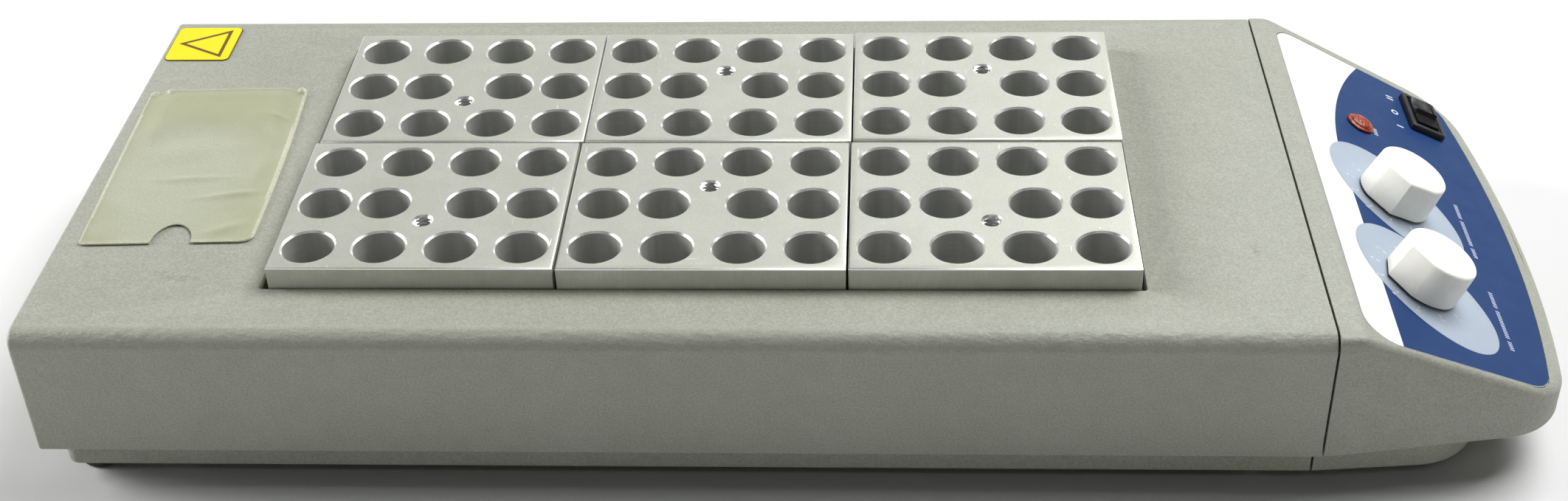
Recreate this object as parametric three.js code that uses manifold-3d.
// Dry block heater: a long low grey housing with six lift-out aluminium heating
// blocks in a well, and a tapered control head with a sloping panel on its right.
// Units are millimetres. +X runs towards the control head, +Y to the back, +Z up.
// The origin is the centre of the footprint, on the surface the feet stand on.
import * as THREE from 'three';
import { mergeVertices } from 'three/addons/utils/BufferGeometryUtils.js';
import Module from 'manifold-3d';

const wasm = await Module();
wasm.setup();

// ---------- Driving dimensions ----------

const LENGTH = 516;
const WIDTH = 207;
const X_LEFT = -LENGTH / 2;
const X_NOSE = LENGTH / 2;
const HALF_WIDTH = WIDTH / 2;
const GAP = 0.3;

// Heights above the bench.
const PAN_BOTTOM_Z = 6;
const COVER_BOTTOM_Z = 17;
const COVER_TOP_Z = 65;
const BLOCK_TOP_Z = 73;

// Housing skins.
const WALL = 2.5;
const PAN_WALL = 2;
const COVER_FRONT_RADIUS = 6;
const COVER_BACK_RADIUS = 4;
const HEAD_EDGE_RADIUS = 3;
const HEAD_INNER_RADIUS = 0.8;
const ARC_STEPS = 4;

// The seam between the main cover and the control head.
const SEAM_X = 169.2;
const SEAM_GAP = 0.8;

// Control head: plan taper, bowed nose and sloping panel.
const CREST_X = 176.6;
const PANEL_SLOPE = THREE.MathUtils.degToRad(25.5);
const TAPER_START_X = SEAM_X + 4;
const TAPER = Math.atan(0.165);
const NOSE_BOW_RADIUS = 450;
const NOSE_CORNER_RADIUS = 25;

// Heating blocks, a standard 3.75 x 3 x 2 inch module.
const BLOCK_LENGTH = 95.25;
const BLOCK_DEPTH = 76.2;
const BLOCK_HEIGHT = 50.8;
const BLOCK_PITCH_X = 96.05;
const BLOCK_PITCH_Y = 77;
const ARRAY_X = -33.4;
const TUBE_WELL_RADIUS = 8.85;
const TUBE_WELL_DEPTH = 45;
const TUBE_WELL_SIDES = 12;
const OUTER_ROW_Y = 25.7;
const OUTER_ROW_X = [-35.9, -11.97, 11.97, 35.9];
const MIDDLE_ROW_X = [-35.9, -15.14, 15.14, 35.9];
const LIFT_HOLE_RADIUS = 3.2;
const LIFT_HOLE_DEPTH = 14;
const LIFT_HOLE_Y = 10.5;

// How each block sits in the well: column, row, small seating shift, and the side
// its lift hole is on (-1 towards the front, 1 towards the back).
const BLOCKS = [
  { name: 'block_front_left', column: -1, row: -1, shiftX: -0.5, shiftY: -0.2, holeSide: -1 },
  { name: 'block_front_middle', column: 0, row: -1, shiftX: -0.3, shiftY: -0.35, holeSide: 1 },
  { name: 'block_front_right', column: 1, row: -1, shiftX: -0.35, shiftY: -0.1, holeSide: -1 },
  { name: 'block_back_left', column: -1, row: 1, shiftX: 0.7, shiftY: -0.1, holeSide: -1 },
  { name: 'block_back_middle', column: 0, row: 1, shiftX: 0.3, shiftY: 0, holeSide: 1 },
  { name: 'block_back_right', column: 1, row: 1, shiftX: 0.1, shiftY: 0.8, holeSide: 1 },
];

// The well the blocks sit in, and what is under them.
const WELL = { x0: -180.8, x1: 111.8, y0: -77.4, y1: 79.4 };
const LINER_WALL = 1.2;
const PLATE_TOP_Z = BLOCK_TOP_Z - BLOCK_HEIGHT - GAP;
const PLATE_THICKNESS = 5;
const PAD_THICKNESS = 1.2;
const CUTOUT_RADIUS = 8;
const SENSOR_RADIUS = 1.6;

// Panel furniture, in panel coordinates: u down the slope from the crest, y as in
// the part, h out of the panel.
const OVERLAY_THICKNESS = 0.4;
const OVERLAY_POCKET = 0.7;
const KNOB_RADIUS = 13.5;
const KNOB_TIP_RADIUS = 14.2;
const KNOB_HEIGHT = 14;
const KNOB_CLEARANCE = 0.9;
const SHAFT_RADIUS = 3;
const BUSHING_RADIUS = 4.6;
const SMALL_SIDES = 16;
const KNOBS = [
  { name: 'rear', u: 33, y: -4, tipAngle: THREE.MathUtils.degToRad(-109) },
  { name: 'front', u: 31.8, y: -55, tipAngle: THREE.MathUtils.degToRad(-165) },
];
const LAMP = { u: 30, y: 43.5, radius: 4.5 };
const SWITCH = { u: 63.2, y: 70.1, length: 24, width: 15, rim: 2.4, depth: 13 };

// Power inlet on the back wall of the head.
const INLET_X = 203;
const INLET_Z = 29.3;

// ---------- Colours ----------

const HOUSING = { color: 0x9a9c93, roughness: 0.6, metalness: 0 };
const PAN = { color: 0x8a8c84, roughness: 0.65, metalness: 0 };
const ALUMINIUM = { color: 0xc9cac8, roughness: 0.4, metalness: 0.9 };
const SHEET_STEEL = { color: 0xa9abac, roughness: 0.4, metalness: 0.85 };
const BLACK_PLASTIC = { color: 0x1b1c1e, roughness: 0.5, metalness: 0 };
const RUBBER = { color: 0x151515, roughness: 0.9, metalness: 0 };
const SILICONE = { color: 0xb4533a, roughness: 0.8, metalness: 0 };
const FIBRE = { color: 0xd8d2c2, roughness: 0.95, metalness: 0 };
const WHITE_PLASTIC = { color: 0xf2f1ec, roughness: 0.45, metalness: 0 };
const OVERLAY = { color: 0x3c5a8f, roughness: 0.4, metalness: 0 };
const LENS = { color: 0xd4411c, roughness: 0.2, metalness: 0 };
const BOARD = { color: 0x1f6b3a, roughness: 0.5, metalness: 0 };
const BRASS = { color: 0xb99a4e, roughness: 0.35, metalness: 0.9 };
const STEEL = { color: 0xb8babd, roughness: 0.3, metalness: 0.95 };
const VINYL = { color: 0xc9c49a, roughness: 0.3, metalness: 0 };
const YELLOW = { color: 0xf0c419, roughness: 0.5, metalness: 0 };

// ---------- Geometry helpers ----------

const model = new THREE.Group();
model.name = 'dry_block_heater';

function toSolid(geometry) {
  const bare = geometry.clone();
  bare.deleteAttribute('normal');
  bare.deleteAttribute('uv');
  const merged = mergeVertices(bare, 1e-4);
  return new wasm.Manifold(new wasm.Mesh({
    numProp: 3,
    vertProperties: new Float32Array(merged.attributes.position.array),
    triVerts: new Uint32Array(merged.index.array),
  }));
}

function toGeometry(solid) {
  const mesh = solid.getMesh();
  const geometry = new THREE.BufferGeometry();
  geometry.setAttribute('position', new THREE.BufferAttribute(mesh.vertProperties, mesh.numProp));
  geometry.setIndex(new THREE.BufferAttribute(mesh.triVerts, 1));
  return geometry;
}

function addPart(name, shape, look) {
  const geometry = shape.isBufferGeometry ? shape : toGeometry(shape);
  geometry.computeVertexNormals();
  const mesh = new THREE.Mesh(geometry, new THREE.MeshStandardMaterial(look));
  mesh.name = name;
  model.add(mesh);
}

function box(x0, x1, y0, y1, z0, z1) {
  const geometry = new THREE.BoxGeometry(x1 - x0, y1 - y0, z1 - z0);
  return geometry.translate((x0 + x1) / 2, (y0 + y1) / 2, (z0 + z1) / 2);
}

// An upright round bar standing on z0, centred on (x, y).
function post(x, y, radius, z0, z1, sides = SMALL_SIDES) {
  const geometry = new THREE.CylinderGeometry(radius, radius, z1 - z0, sides);
  return geometry.rotateX(Math.PI / 2).translate(x, y, (z0 + z1) / 2);
}

// A turned piece about +Z; the profile lists [radius, height] from axis to axis.
function turned(profile, sides = SMALL_SIDES) {
  const points = profile.map(([radius, height]) => new THREE.Vector2(radius, height));
  return new THREE.LatheGeometry(points, sides).rotateX(Math.PI / 2);
}

// A flat outline in the XY plane, thickened from z0 to z1.
function slab(outline, z0, z1) {
  const shape = new THREE.Shape(outline.map(([x, y]) => new THREE.Vector2(x, y)));
  const geometry = new THREE.ExtrudeGeometry(shape, { depth: z1 - z0, bevelEnabled: false });
  return geometry.translate(0, 0, z0);
}

// A closed skin through matching rings listed from bottom to top. Each ring runs
// anticlockwise seen from above. topFans lists the flat polygons of the top.
function ringSolid(rings, topFans) {
  const count = rings[0].length;
  const index = [];
  for (let level = 0; level < rings.length - 1; level += 1) {
    for (let i = 0; i < count; i += 1) {
      const j = (i + 1) % count;
      const low = level * count;
      const high = low + count;
      index.push(low + i, low + j, high + j, low + i, high + j, high + i);
    }
  }
  for (let i = 1; i < count - 1; i += 1) {
    index.push(0, i + 1, i);
  }
  const top = (rings.length - 1) * count;
  for (const fan of topFans) {
    for (let i = 1; i < fan.length - 1; i += 1) {
      index.push(top + fan[0], top + fan[i], top + fan[i + 1]);
    }
  }
  const geometry = new THREE.BufferGeometry();
  geometry.setAttribute('position', new THREE.Float32BufferAttribute(rings.flat(2), 3));
  geometry.setIndex(index);
  return geometry;
}

function wholeRing(count) {
  return [Array.from({ length: count }, (_, i) => i)];
}

// Replaces each corner of a closed outline by an arc of its own radius.
function roundCorners(corners, steps = ARC_STEPS) {
  const outline = [];
  corners.forEach(([x, y, radius], i) => {
    const [px, py] = corners[(i + corners.length - 1) % corners.length];
    const [nx, ny] = corners[(i + 1) % corners.length];
    if (!radius) {
      outline.push([x, y]);
      return;
    }
    const back = new THREE.Vector2(px - x, py - y).normalize();
    const ahead = new THREE.Vector2(nx - x, ny - y).normalize();
    const half = Math.acos(back.dot(ahead)) / 2;
    const middle = back.clone().add(ahead).normalize();
    const centre = new THREE.Vector2(x, y).addScaledVector(middle, radius / Math.sin(half));
    const start = new THREE.Vector2(x, y).addScaledVector(back, radius / Math.tan(half)).sub(centre);
    const sweep = (Math.PI - 2 * half) * Math.sign(ahead.cross(back));
    for (let k = 0; k <= steps; k += 1) {
      const turn = (sweep * k) / steps;
      outline.push([
        centre.x + start.x * Math.cos(turn) - start.y * Math.sin(turn),
        centre.y + start.x * Math.sin(turn) + start.y * Math.cos(turn),
      ]);
    }
  });
  return outline;
}

// ---------- Panel frame ----------

const panelMatrix = new THREE.Matrix4()
  .makeTranslation(CREST_X, 0, COVER_TOP_Z)
  .multiply(new THREE.Matrix4().makeRotationY(PANEL_SLOPE));

// Moves a piece built about its own origin to (u, y, h) on the sloping panel.
function onPanel(geometry, u = 0, y = 0, h = 0) {
  return geometry.translate(u, y, h).applyMatrix4(panelMatrix);
}

// ---------- Control head outline ----------

const bowCentreX = X_NOSE - NOSE_BOW_RADIUS;

// The centre of the nose corner arc: one corner radius inside both the tapered
// side and the bowed nose.
function noseCornerCentre() {
  const slope = Math.tan(TAPER);
  const offset = -HALF_WIDTH + NOSE_CORNER_RADIUS / Math.cos(TAPER) - slope * TAPER_START_X;
  const reach = NOSE_BOW_RADIUS - NOSE_CORNER_RADIUS;
  const a = 1 + slope * slope;
  const b = 2 * (slope * offset - bowCentreX);
  const c = bowCentreX * bowCentreX + offset * offset - reach * reach;
  const x = (-b + Math.sqrt(b * b - 4 * a * c)) / (2 * a);
  return [x, offset + slope * x];
}

const [cornerX, cornerY] = noseCornerCentre();
const bowHalfAngle = Math.atan2(-cornerY, cornerX - bowCentreX);
const CORNER_STEPS = 5;
const BOW_STEPS = 8;

function taperedSideY(x, inset) {
  return -HALF_WIDTH + inset / Math.cos(TAPER) + Math.tan(TAPER) * (x - TAPER_START_X);
}

// The head's plan outline moved in by inset, from its front seam corner round the
// nose to its back seam corner. startX is where the outline begins.
function headOutline(inset, startX) {
  const front = [
    [startX, -HALF_WIDTH + inset],
    [TAPER_START_X, -HALF_WIDTH + inset],
    [CREST_X, taperedSideY(CREST_X, inset)],
  ];
  const firstAngle = TAPER - Math.PI / 2;
  for (let k = 0; k <= CORNER_STEPS; k += 1) {
    const angle = firstAngle + ((-bowHalfAngle - firstAngle) * k) / CORNER_STEPS;
    const radius = NOSE_CORNER_RADIUS - inset;
    front.push([cornerX + radius * Math.cos(angle), cornerY + radius * Math.sin(angle)]);
  }
  for (let k = 1; k < BOW_STEPS / 2; k += 1) {
    const angle = -bowHalfAngle + (2 * bowHalfAngle * k) / BOW_STEPS;
    const radius = NOSE_BOW_RADIUS - inset;
    front.push([bowCentreX + radius * Math.cos(angle), radius * Math.sin(angle)]);
  }
  const back = front.map(([x, y]) => [x, -y]).reverse();
  return [...front, [X_NOSE - inset, 0], ...back];
}

function headRoofZ(x) {
  return COVER_TOP_Z - Math.max(0, x - CREST_X) * Math.tan(PANEL_SLOPE);
}

const CREST_INDEX = 2;

// A head-shaped body: upright sides, a rounded upper edge and the sloping roof,
// all moved in by inset and with the roof lowered by roofDrop.
function headBody(inset, startX, bottomZ, roofDrop, edgeRadius) {
  const rings = [headOutline(inset, startX).map(([x, y]) => [x, y, bottomZ])];
  for (let k = 0; k <= ARC_STEPS; k += 1) {
    const turn = (Math.PI / 2) * (k / ARC_STEPS);
    const moveIn = edgeRadius * (1 - Math.cos(turn));
    const drop = roofDrop + edgeRadius * (1 - Math.sin(turn));
    rings.push(headOutline(inset + moveIn, startX).map(([x, y]) => [x, y, headRoofZ(x) - drop]));
  }
  const last = rings[0].length - 1;
  const slope = [];
  for (let i = CREST_INDEX; i <= last - CREST_INDEX; i += 1) {
    slope.push(i);
  }
  const flat = [0, 1, CREST_INDEX, last - CREST_INDEX, last - 1, last];
  return toSolid(ringSolid(rings, [slope, flat]));
}

// ---------- Main cover ----------

// Housing cross-section in Y and Z with rounded upper edges, moved in by inset.
function coverSection(inset, bottomZ) {
  const side = HALF_WIDTH - inset;
  const top = COVER_TOP_Z - inset;
  return roundCorners([
    [-side, bottomZ, 0],
    [side, bottomZ, 0],
    [side, top, COVER_BACK_RADIUS - inset],
    [-side, top, COVER_FRONT_RADIUS - inset],
  ]);
}

// Runs a Y-Z section along X from x0 to x1.
function alongX(section, x0, x1) {
  const geometry = slab(section, 0, x1 - x0);
  const axes = new THREE.Matrix4().makeBasis(
    new THREE.Vector3(0, 1, 0),
    new THREE.Vector3(0, 0, 1),
    new THREE.Vector3(1, 0, 0),
  );
  return geometry.applyMatrix4(axes).translate(x0, 0, 0);
}

// Screw positions under the main cover and under the head.
const COVER_SCREWS = [[-214, -90], [-214, 90], [150, -90], [150, 90]];
const HEAD_SCREWS = [[178, -84], [178, 84]];
const SCREW_RADIUS = 1.9;
const SCREW_TIP_Z = 30;
const BOSS_RADIUS = 4.5;
const BOSS_BOTTOM_Z = 20;
const BOSS_HOLE_RADIUS = 2.1;

function addBosses(shell, envelope, positions) {
  let result = shell;
  for (const [x, y] of positions) {
    const boss = toSolid(post(x, y, BOSS_RADIUS, BOSS_BOTTOM_Z, COVER_TOP_Z)).intersect(envelope);
    const hole = toSolid(post(x, y, BOSS_HOLE_RADIUS, BOSS_BOTTOM_Z - 1, SCREW_TIP_Z + 1));
    result = result.add(boss).subtract(hole);
  }
  return result;
}

const coverEnd = SEAM_X - SEAM_GAP / 2;
const coverOuter = toSolid(
  alongX(coverSection(0, COVER_BOTTOM_Z), X_LEFT, coverEnd),
);
const coverInner = toSolid(alongX(
  coverSection(WALL, COVER_BOTTOM_Z - 1),
  X_LEFT + WALL,
  coverEnd + 1,
));
const wellCut = toSolid(
  box(WELL.x0, WELL.x1, WELL.y0, WELL.y1, COVER_TOP_Z - 2 * WALL, COVER_TOP_Z + 1),
);
const coverShell = addBosses(coverOuter.subtract(coverInner), coverOuter, COVER_SCREWS);
addPart('top_cover', coverShell.subtract(wellCut), HOUSING);

// ---------- Control head housing ----------

const headStart = SEAM_X + SEAM_GAP / 2;
const headOuter = headBody(0, headStart, COVER_BOTTOM_Z, 0, HEAD_EDGE_RADIUS);
const headInner = headBody(
  WALL,
  headStart - 1,
  COVER_BOTTOM_Z - 1,
  WALL / Math.cos(PANEL_SLOPE),
  HEAD_INNER_RADIUS,
);
let head = addBosses(headOuter.subtract(headInner), headOuter, HEAD_SCREWS);

// The overlay keeps a narrow margin inside the panel's rounded edges.
const OVERLAY_EDGE = {
  left: 2.3, apex: 83.3, cornerU: 72.5, frontReach: 100.2, backReach: 96.5, taper: 0.155,
  bowRadius: 380, noseCorner: 11,
};

// Outline of the printed overlay, in panel coordinates, moved out by grow.
function overlayOutline(grow) {
  const left = OVERLAY_EDGE.left - grow;
  const bowRadius = OVERLAY_EDGE.bowRadius + grow;
  const apex = OVERLAY_EDGE.apex + grow;
  const frontY = (u) => -OVERLAY_EDGE.frontReach - grow + OVERLAY_EDGE.taper * u;
  const backY = (u) => OVERLAY_EDGE.backReach + grow - OVERLAY_EDGE.taper * u;
  const steps = 6;
  const startY = frontY(OVERLAY_EDGE.cornerU);
  const endY = backY(OVERLAY_EDGE.cornerU);
  const bow = [];
  for (let k = 0; k <= steps; k += 1) {
    const y = startY + ((endY - startY) * k) / steps;
    const u = apex - (bowRadius - Math.sqrt(bowRadius * bowRadius - y * y)) * Math.cos(PANEL_SLOPE);
    bow.push([u, y, 0]);
  }
  bow[0][2] = OVERLAY_EDGE.noseCorner;
  bow[steps][2] = OVERLAY_EDGE.noseCorner;
  return roundCorners([
    [left, frontY(left), 11],
    ...bow,
    [left, backY(left), 4.5],
  ]);
}

const DEEP = 12;
const overlayPocket = toSolid(onPanel(slab(overlayOutline(0.25), -OVERLAY_POCKET, 3)));
head = head.subtract(overlayPocket);
let overlay = toSolid(onPanel(slab(overlayOutline(0), -OVERLAY_THICKNESS, 0)));

// Openings through the panel and its overlay for the controls.
const panelOpenings = [
  ...KNOBS.map(({ u, y }) => onPanel(post(0, 0, BUSHING_RADIUS + GAP, -DEEP, DEEP), u, y)),
  onPanel(post(0, 0, LAMP.radius - 0.2, -DEEP, DEEP), LAMP.u, LAMP.y),
  onPanel(
    box(
      -SWITCH.width / 2 + 1, SWITCH.width / 2 - 1,
      -SWITCH.length / 2 + 1, SWITCH.length / 2 - 1,
      -DEEP, DEEP,
    ),
    SWITCH.u,
    SWITCH.y,
  ),
].map(toSolid);
for (const opening of panelOpenings) {
  head = head.subtract(opening);
  overlay = overlay.subtract(opening);
}

// The inlet sits square to the tapered back wall.
const inletY = -taperedSideY(INLET_X, 0);
const inletMatrix = new THREE.Matrix4()
  .makeTranslation(INLET_X, inletY, INLET_Z)
  .multiply(new THREE.Matrix4().makeRotationZ(-TAPER));

function onBackWall(geometry) {
  return geometry.applyMatrix4(inletMatrix);
}

const INLET = { halfWidth: 14, halfHeight: 9.4, flangeX: 15.5, flangeZ: 11.2, depth: 19 };
head = head.subtract(toSolid(onBackWall(box(
  -INLET.halfWidth - GAP, INLET.halfWidth + GAP,
  -DEEP / 2, DEEP / 2,
  -INLET.halfHeight - GAP, INLET.halfHeight + GAP,
))));
addPart('head_housing', head, HOUSING);
addPart('panel_overlay', overlay, OVERLAY);

// ---------- Base pans ----------

const FLANGE_Z = COVER_BOTTOM_Z + 0.4;
const FLANGE_TOP_Z = FLANGE_Z + PAN_WALL;
const PAN_INSET = 4.8;
const PAN_END_INSET = 5.5;
const PAN_CORNER_RADIUS = 5;
const PAN_EDGE_RADIUS = 1.2;
const PAN_INNER_RADIUS = 0.6;
// The pans meet a little to the left of the seam between the cover and the head.
const PAN_SEAM_X = SEAM_X - 1.8;
const mainPanEnd = PAN_SEAM_X - SEAM_GAP / 2;
const headPanStart = PAN_SEAM_X + SEAM_GAP / 2;

// A tray-shaped body whose lower edge is rounded. outlineAt(inset) gives its plan.
function trayBody(outlineAt, bottomZ, topZ, radius) {
  const rings = [];
  for (let k = 0; k <= ARC_STEPS; k += 1) {
    const turn = (Math.PI / 2) * (k / ARC_STEPS);
    const inset = radius * (1 - Math.sin(turn));
    const z = bottomZ + radius * (1 - Math.cos(turn));
    rings.push(outlineAt(inset).map(([x, y]) => [x, y, z]));
  }
  rings.push(outlineAt(0).map(([x, y]) => [x, y, topZ]));
  return toSolid(ringSolid(rings, wholeRing(rings[0].length)));
}

// Main pan plan: the end at the seam is cut square, so only three sides move in.
function mainPanOutline(inset) {
  const side = HALF_WIDTH - PAN_INSET - inset;
  const left = X_LEFT + PAN_END_INSET + inset;
  const corner = PAN_CORNER_RADIUS - inset;
  return roundCorners([
    [left, -side, corner], [mainPanEnd, -side, 0], [mainPanEnd, side, 0], [left, side, corner],
  ]);
}

// Head pan plan: a short tub that ends before the nose.
const HEAD_PAN_END_X = 226;
const HEAD_PAN_TAPER = 0.09;
const HEAD_PAN_CORNER = 25;
function headPanOutline(inset) {
  const side = HALF_WIDTH - PAN_INSET - inset;
  const end = HEAD_PAN_END_X - inset;
  const endSide = side - HEAD_PAN_TAPER * (end - headPanStart);
  const corner = HEAD_PAN_CORNER - inset;
  return roundCorners(
    [
      [headPanStart, -side, 0], [end, -endSide, corner], [end, endSide, corner],
      [headPanStart, side, 0],
    ],
    2 * ARC_STEPS,
  );
}

const FOOT_POSITIONS = [[-244, -86], [-244, 86], [196, -70], [196, 70]];
const FOOT_STEM_RADIUS = 3;

function drillPan(pan, positions, radius) {
  let result = pan;
  for (const [x, y] of positions) {
    result = result.subtract(toSolid(post(x, y, radius, 0, FLANGE_Z)));
  }
  return result;
}

const mainTub = trayBody(mainPanOutline, PAN_BOTTOM_Z, FLANGE_TOP_Z, PAN_EDGE_RADIUS);
const mainFlange = toSolid(box(
  X_LEFT + WALL + GAP, mainPanEnd,
  -HALF_WIDTH + WALL + GAP, HALF_WIDTH - WALL - GAP,
  FLANGE_Z, FLANGE_TOP_Z,
));
const mainHollow = trayBody(
  (inset) => mainPanOutline(inset + PAN_WALL).map(([x, y]) => [x > 0 ? x - PAN_WALL : x, y]),
  PAN_BOTTOM_Z + PAN_WALL,
  COVER_TOP_Z,
  PAN_INNER_RADIUS,
);
let mainPan = mainTub.add(mainFlange).subtract(mainHollow);
mainPan = drillPan(mainPan, COVER_SCREWS, SCREW_RADIUS + 0.4);
mainPan = drillPan(mainPan, FOOT_POSITIONS.slice(0, 2), FOOT_STEM_RADIUS + GAP);
addPart('base_pan_main', mainPan, PAN);

const headTub = trayBody(headPanOutline, PAN_BOTTOM_Z, FLANGE_TOP_Z, PAN_EDGE_RADIUS);
const headShelf = toSolid(slab(headOutline(WALL + GAP, headPanStart), FLANGE_Z, FLANGE_TOP_Z));
const headHollow = trayBody(
  (inset) => headPanOutline(inset + PAN_WALL).map(([x, y]) => [Math.max(x, headPanStart + PAN_WALL), y]),
  PAN_BOTTOM_Z + PAN_WALL,
  COVER_TOP_Z,
  PAN_INNER_RADIUS,
);
let headPan = headTub.add(headShelf).subtract(headHollow);
headPan = drillPan(headPan, HEAD_SCREWS, SCREW_RADIUS + 0.4);
headPan = drillPan(headPan, FOOT_POSITIONS.slice(2), FOOT_STEM_RADIUS + GAP);
addPart('base_pan_head', headPan, PAN);

// ---------- Feet and base screws ----------

const FOOT_HEIGHT = PAN_BOTTOM_Z - GAP;
FOOT_POSITIONS.forEach(([x, y], i) => {
  const foot = turned([
    [0, 0], [7, 0], [8, 1], [8.5, FOOT_HEIGHT], [FOOT_STEM_RADIUS, FOOT_HEIGHT],
    [FOOT_STEM_RADIUS, FOOT_HEIGHT + 5], [0, FOOT_HEIGHT + 5],
  ]);
  addPart(`foot_${i + 1}`, foot.translate(x, y, 0), RUBBER);
});

const SCREW_HEAD_TOP = PAN_BOTTOM_Z - GAP;
[...COVER_SCREWS, ...HEAD_SCREWS].forEach(([x, y], i) => {
  const screw = turned([
    [0, SCREW_HEAD_TOP - 2.2], [2.6, SCREW_HEAD_TOP - 2.2], [3.6, SCREW_HEAD_TOP - 1.2],
    [3.6, SCREW_HEAD_TOP], [SCREW_RADIUS, SCREW_HEAD_TOP], [SCREW_RADIUS, SCREW_TIP_Z - 2],
    [0, SCREW_TIP_Z],
  ], 12);
  addPart(`base_screw_${i + 1}`, screw.translate(x, y, 0), STEEL);
});

// ---------- Well liner, heater and insulation ----------

const linerOuter = toSolid(box(
  WELL.x0 - LINER_WALL, WELL.x1 + LINER_WALL, WELL.y0 - LINER_WALL, WELL.y1 + LINER_WALL,
  PAN_BOTTOM_Z + PAN_WALL + GAP, COVER_TOP_Z - WALL - GAP,
));
const linerInner = toSolid(box(WELL.x0, WELL.x1, WELL.y0, WELL.y1, 0, COVER_TOP_Z));
const plateBottomZ = PLATE_TOP_Z - PLATE_THICKNESS;
const sensorZ = (PLATE_TOP_Z + plateBottomZ) / 2;
const SENSOR = { x0: 76, x1: 128, y: 20 };

// A round bar lying along X.
function barAlongX(x0, x1, y, z, radius) {
  return post(0, 0, radius, x0, x1).rotateY(Math.PI / 2).translate(0, y, z);
}

const sensorHole = toSolid(barAlongX(SENSOR.x0 - 1, SENSOR.x1, SENSOR.y, sensorZ, SENSOR_RADIUS + 0.35));
addPart('well_liner', linerOuter.subtract(linerInner).subtract(sensorHole), SHEET_STEEL);

const wellFit = 0.5;
const plate = toSolid(box(
  WELL.x0 + wellFit, WELL.x1 - wellFit, WELL.y0 + wellFit, WELL.y1 - wellFit,
  plateBottomZ, PLATE_TOP_Z,
));
addPart('heater_plate', plate.subtract(sensorHole), ALUMINIUM);
addPart(
  'temperature_sensor',
  barAlongX(SENSOR.x0, SENSOR.x1, SENSOR.y, sensorZ, SENSOR_RADIUS),
  STEEL,
);

const padTopZ = plateBottomZ - GAP;
const padBottomZ = padTopZ - PAD_THICKNESS;
const padMargin = 6;
const middleX = (WELL.x0 + WELL.x1) / 2;
const padGap = CUTOUT_RADIUS + 2;
addPart('heater_pad_left', box(
  WELL.x0 + padMargin, middleX - padGap, WELL.y0 + padMargin, WELL.y1 - padMargin,
  padBottomZ, padTopZ,
), SILICONE);
addPart('heater_pad_right', box(
  middleX + padGap, WELL.x1 - padMargin, WELL.y0 + padMargin, WELL.y1 - padMargin,
  padBottomZ, padTopZ,
), SILICONE);

const insulationTopZ = padBottomZ - GAP;
const insulation = toSolid(box(
  WELL.x0 + wellFit, WELL.x1 - wellFit, WELL.y0 + wellFit, WELL.y1 - wellFit,
  PAN_BOTTOM_Z + PAN_WALL + GAP, insulationTopZ,
));
const cutoutBottomZ = PAN_BOTTOM_Z + PAN_WALL + 1;
const cutoutSeat = toSolid(post(middleX, 0, CUTOUT_RADIUS + 1, 0, COVER_TOP_Z));
addPart('insulation_board', insulation.subtract(cutoutSeat), FIBRE);
addPart('thermal_cutout', post(middleX, 0, CUTOUT_RADIUS, cutoutBottomZ, padTopZ), BLACK_PLASTIC);

// ---------- Heating blocks ----------

function heatingBlock({ column, row, shiftX, shiftY, holeSide }) {
  const x = ARRAY_X + column * BLOCK_PITCH_X + shiftX;
  const y = (row * BLOCK_PITCH_Y) / 2 + shiftY;
  let block = toSolid(box(
    x - BLOCK_LENGTH / 2, x + BLOCK_LENGTH / 2, y - BLOCK_DEPTH / 2, y + BLOCK_DEPTH / 2,
    BLOCK_TOP_Z - BLOCK_HEIGHT, BLOCK_TOP_Z,
  ));
  const rows = [
    [-OUTER_ROW_Y, OUTER_ROW_X],
    [0, MIDDLE_ROW_X],
    [OUTER_ROW_Y, OUTER_ROW_X],
  ];
  const floorZ = BLOCK_TOP_Z - TUBE_WELL_DEPTH;
  for (const [rowY, columns] of rows) {
    for (const columnX of columns) {
      const well = post(
        x + columnX, y + rowY, TUBE_WELL_RADIUS, floorZ, BLOCK_TOP_Z + 1, TUBE_WELL_SIDES,
      );
      block = block.subtract(toSolid(well));
    }
  }
  const liftFloorZ = BLOCK_TOP_Z - LIFT_HOLE_DEPTH;
  const lift = post(x, y + holeSide * LIFT_HOLE_Y, LIFT_HOLE_RADIUS, liftFloorZ, BLOCK_TOP_Z + 1, 10);
  return block.subtract(toSolid(lift));
}

for (const spec of BLOCKS) {
  addPart(spec.name, heatingBlock(spec), ALUMINIUM);
}

// ---------- Knobs and potentiometers ----------

// Knob plan: round, with a pointer edge formed by two flats at angle 0.
function knobOutline(scale, height) {
  const flatHalfAngle = THREE.MathUtils.degToRad(44);
  const steps = 18;
  const ring = [[KNOB_TIP_RADIUS * scale, 0, height]];
  for (let k = 0; k <= steps; k += 1) {
    const angle = flatHalfAngle + ((2 * Math.PI - 2 * flatHalfAngle) * k) / steps;
    const radius = KNOB_RADIUS * scale;
    ring.push([radius * Math.cos(angle), radius * Math.sin(angle), height]);
  }
  return ring;
}

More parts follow.
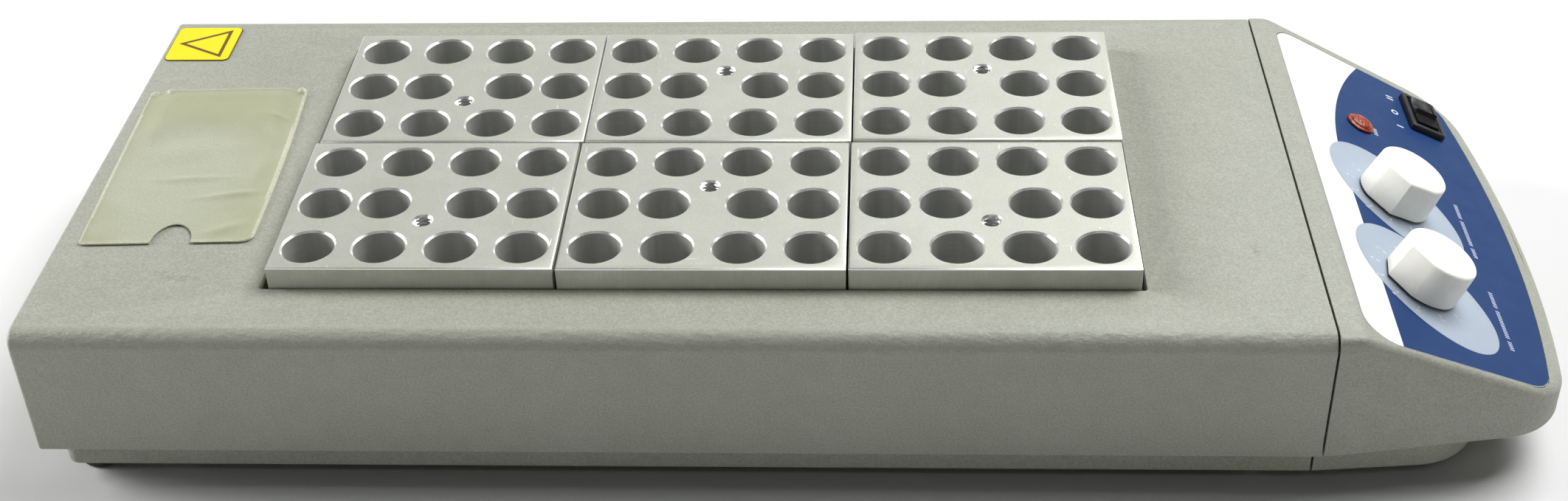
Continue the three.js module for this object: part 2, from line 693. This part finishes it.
const POT_RADIUS = 11;
const POT_DEPTH = 9;
const SHAFT_TOP = KNOB_CLEARANCE + 10;
const panelUnderside = -WALL - GAP;
for (const { name, u, y, tipAngle } of KNOBS) {
  const rings = [
    knobOutline(1, KNOB_CLEARANCE),
    knobOutline(0.965, KNOB_CLEARANCE + KNOB_HEIGHT - 1),
    knobOutline(0.91, KNOB_CLEARANCE + KNOB_HEIGHT),
  ];
  const body = toSolid(ringSolid(rings, wholeRing(rings[0].length)).rotateZ(tipAngle));
  const bore = toSolid(post(0, 0, SHAFT_RADIUS + 0.1, 0, SHAFT_TOP + GAP));
  addPart(`knob_${name}`, onPanel(toGeometry(body.subtract(bore)), u, y), WHITE_PLASTIC);
  addPart(
    `knob_shaft_${name}`,
    onPanel(post(0, 0, SHAFT_RADIUS, panelUnderside - POT_DEPTH + 2, SHAFT_TOP), u, y),
    STEEL,
  );
  const can = toSolid(post(0, 0, POT_RADIUS, panelUnderside - POT_DEPTH, panelUnderside));
  const bushing = toSolid(post(0, 0, BUSHING_RADIUS, panelUnderside - 1, 0.4));
  const shaftBore = toSolid(post(0, 0, SHAFT_RADIUS + 0.1, panelUnderside - POT_DEPTH + 1.7, 2));
  addPart(
    `potentiometer_${name}`,
    onPanel(toGeometry(can.add(bushing).subtract(shaftBore)), u, y),
    BRASS,
  );
}

// ---------- Indicator lamp ----------

const lensTop = 3.4;
addPart('lamp_lens', onPanel(turned([
  [0, GAP], [LAMP.radius + 0.9, GAP], [LAMP.radius + 0.9, 0.8], [LAMP.radius, 1.4],
  [LAMP.radius * 0.75, lensTop - 0.7], [LAMP.radius * 0.35, lensTop], [0, lensTop],
]), LAMP.u, LAMP.y), LENS);
addPart('lamp_body', onPanel(post(0, 0, LAMP.radius - 0.6, -20, 0), LAMP.u, LAMP.y), BLACK_PLASTIC);

// ---------- Rocker switch ----------

const ROCKER = { halfWidth: 4.6, halfLength: 8.4, pivotH: -1.5, top: 3.6 };
const bezelOuter = toSolid(slab(roundCorners([
  [-SWITCH.width / 2, -SWITCH.length / 2, 1.2],
  [SWITCH.width / 2, -SWITCH.length / 2, 1.2],
  [SWITCH.width / 2, SWITCH.length / 2, 1.2],
  [-SWITCH.width / 2, SWITCH.length / 2, 1.2],
], 2), GAP, SWITCH.rim));
const switchBox = toSolid(box(
  -SWITCH.width / 2 + 1.3, SWITCH.width / 2 - 1.3,
  -SWITCH.length / 2 + 1.3, SWITCH.length / 2 - 1.3,
  -SWITCH.depth, GAP + 0.5,
));
const rockerRoom = toSolid(box(
  -ROCKER.halfWidth - 0.4, ROCKER.halfWidth + 0.4,
  -ROCKER.halfLength - 1.2, ROCKER.halfLength + 1.2,
  -7, 5,
));
addPart(
  'switch_body',
  onPanel(toGeometry(bezelOuter.add(switchBox).subtract(rockerRoom)), SWITCH.u, SWITCH.y),
  BLACK_PLASTIC,
);

// Rocker side view: a shallow dished top over a rounded underside.
const rockerSection = [
  [-ROCKER.halfLength, ROCKER.top], [-ROCKER.halfLength, 0.4], [-5, -3.4], [5, -3.4],
  [ROCKER.halfLength, 0.4], [ROCKER.halfLength, ROCKER.top], [ROCKER.halfLength - 1.4, ROCKER.top + 0.3],
  [0, ROCKER.top - 1.4], [-ROCKER.halfLength + 1.4, ROCKER.top + 0.3],
];
const rocker = alongX(rockerSection, -ROCKER.halfWidth, ROCKER.halfWidth);
addPart('switch_rocker', onPanel(rocker, SWITCH.u, SWITCH.y), BLACK_PLASTIC);

// ---------- Power inlet ----------

const inletShell = toSolid(box(
  -INLET.flangeX, INLET.flangeX, GAP, 2.2, -INLET.flangeZ, INLET.flangeZ,
)).add(toSolid(box(
  -INLET.halfWidth, INLET.halfWidth, -INLET.depth, 1, -INLET.halfHeight, INLET.halfHeight,
)));
const inletRecess = toSolid(box(-12, 12, -INLET.depth + 3, 5, -7.6, 7.6));
addPart('power_inlet', onBackWall(toGeometry(inletShell.subtract(inletRecess))), BLACK_PLASTIC);
const BLADES = [
  { name: 'inlet_blade_line', x: -7, z: -2 },
  { name: 'inlet_blade_neutral', x: 7, z: -2 },
  { name: 'inlet_blade_earth', x: 0, z: 2.5 },
];
for (const { name, x, z } of BLADES) {
  const blade = box(x - 1, x + 1, -INLET.depth + 3 + GAP, 0.5, z - 2, z + 2);
  addPart(name, onBackWall(blade), STEEL);
}

// ---------- Electronics ----------

const BOARD_BOX = { x0: 174.5, x1: 208, y0: -78, y1: 34, z0: 20.6, z1: 22.2 };
const STANDOFF_INSET = 4;
const panFloorZ = PAN_BOTTOM_Z + PAN_WALL + GAP;
const board = box(BOARD_BOX.x0, BOARD_BOX.x1, BOARD_BOX.y0, BOARD_BOX.y1, BOARD_BOX.z0, BOARD_BOX.z1);
addPart('circuit_board', board, BOARD);
const standoffXs = [BOARD_BOX.x0 + STANDOFF_INSET, BOARD_BOX.x1 - STANDOFF_INSET];
const standoffYs = [BOARD_BOX.y0 + STANDOFF_INSET, BOARD_BOX.y1 - STANDOFF_INSET];
standoffXs.forEach((x, i) => {
  standoffYs.forEach((y, j) => {
    const standoff = post(x, y, 3, panFloorZ, BOARD_BOX.z0 - GAP, 6);
    addPart(`board_standoff_${i * 2 + j + 1}`, standoff, BRASS);
  });
});
const heatSinkZ = BOARD_BOX.z1 + GAP;
const heatSink = toSolid(box(178, 202, 8, 26, heatSinkZ, heatSinkZ + 11));
const heatSinkSlot = toSolid(box(182, 198, 6, 28, heatSinkZ + 2.5, heatSinkZ + 12));
addPart('triac_heat_sink', heatSink.subtract(heatSinkSlot), ALUMINIUM);
addPart('relay', box(182, 200, -46, -30, heatSinkZ, heatSinkZ + 12), BLACK_PLASTIC);

// Sheet partition between the hot well and the electronics.
const partition = toSolid(alongX(
  coverSection(WALL + 0.4, FLANGE_TOP_Z + GAP),
  134,
  135.2,
));
const cableHole = toSolid(barAlongX(130, 140, -60, 40, 6));
addPart('partition', partition.subtract(cableHole), SHEET_STEEL);

// ---------- Card pocket and caution label on the cover ----------

const CARD_TURN = THREE.MathUtils.degToRad(2);
const CARD = { x: -221.1, y: -2.9, halfX: 30, halfY: 49.4, thickness: 0.6, turn: CARD_TURN };
const LABEL = { x: -243.1, y: 84, half: 12.9, thickness: 0.3 };
const sheetZ = COVER_TOP_Z + GAP;
const thumbNotch = [];
const NOTCH = { x: 1.6, halfWidth: 7.1, depth: 11 };
for (let k = 0; k <= 6; k += 1) {
  const angle = Math.PI - (Math.PI * k) / 6;
  thumbNotch.push([
    NOTCH.x + NOTCH.halfWidth * Math.cos(angle),
    -CARD.halfY + NOTCH.depth * Math.sin(angle),
  ]);
}
const cardOutline = [
  [-CARD.halfX, -CARD.halfY], ...thumbNotch, [CARD.halfX, -CARD.halfY],
  [CARD.halfX, CARD.halfY], [-CARD.halfX, CARD.halfY],
];
const card = slab(cardOutline, 0, CARD.thickness).rotateZ(CARD.turn);
addPart('card_pocket', card.translate(CARD.x, CARD.y, sheetZ), VINYL);
const labelOutline = roundCorners([
  [-LABEL.half, -LABEL.half, 2], [LABEL.half, -LABEL.half, 2],
  [LABEL.half, LABEL.half, 2], [-LABEL.half, LABEL.half, 2],
], 2);
addPart('caution_label', slab(labelOutline, 0, LABEL.thickness).translate(LABEL.x, LABEL.y, sheetZ), YELLOW);

export default model;
